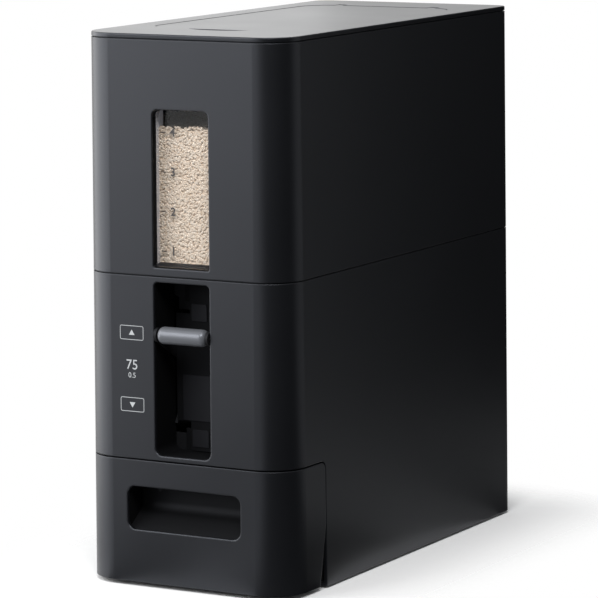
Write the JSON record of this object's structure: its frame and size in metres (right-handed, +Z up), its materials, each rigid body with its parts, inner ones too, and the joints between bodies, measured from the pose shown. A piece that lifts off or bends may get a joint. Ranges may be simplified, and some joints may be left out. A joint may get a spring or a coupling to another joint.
{
  "type": "rice storage bin",
  "caption": "Slim dark rice bin with a rear-hinged fill flap, a front window, a push lever that drops a measured dose through a chamber, and a pull-out drawer that catches it.",
  "frame": {"origin": "centre of the case's footprint, on the floor that the feet stand on", "axes": "+Z up, -Y to the front with the lever and drawer, +X to the right seen from the front"},
  "size_m": [0.158, 0.3355, 0.3665],
  "materials": {
    "case_plastic": "satin gloss",
    "inner_plastic": "matte",
    "panel_plastic": "matte",
    "clear_plastic": "clear",
    "grip_plastic": "satin",
    "steel": "plain",
    "foot_rubber": "matte"
  },
  "bodies": {
    "case": {"lower_case": "case_plastic", "upper_case": "case_plastic", "lid_frame": "case_plastic", "base_plate": "inner_plastic", "hopper": "inner_plastic", "chute_deck": "inner_plastic", "drawer_runner_left": "inner_plastic", "drawer_runner_right": "inner_plastic", "lever_recess_liner": "panel_plastic", "measuring_chamber": "panel_plastic", "window_pane": "clear_plastic", "base_screws": "steel", "deck_screws": "steel", "runner_screws": "steel", "hinge_pin_left": "steel", "hinge_pin_right": "steel", "pivot_pin_left": "steel", "pivot_pin_right": "steel", "foot_front_left": "foot_rubber", "foot_front_right": "foot_rubber", "foot_rear_left": "foot_rubber", "foot_rear_right": "foot_rubber"},
    "flap": {"lid_flap": "case_plastic"},
    "rocker": {"rocker_cheek_left": "inner_plastic", "rocker_cheek_right": "inner_plastic", "lower_gate": "inner_plastic", "upper_gate": "inner_plastic", "lever_grip": "grip_plastic", "grip_rod": "steel"},
    "drawer": {"drawer_front": "case_plastic", "drawer_pull_cup": "inner_plastic", "drawer_tray": "inner_plastic", "drawer_screws": "steel"}
  },
  "joints": [
    {"name": "flap_hinge", "type": "hinge", "parent": "case", "child": "flap", "pos_m": [0, 0.12354, 0.364], "axis": [-1, 0, 0], "range_deg": [0, 100]},
    {"name": "lever_hinge", "type": "hinge", "parent": "case", "child": "rocker", "pos_m": [0, -0.12051, 0.1455], "axis": [1, 0, 0], "range_deg": [0, 60]},
    {"name": "drawer_slide", "type": "slide", "parent": "case", "child": "drawer", "axis": [0, -1, 0], "range_m": [0, 0.095]}
  ]
}
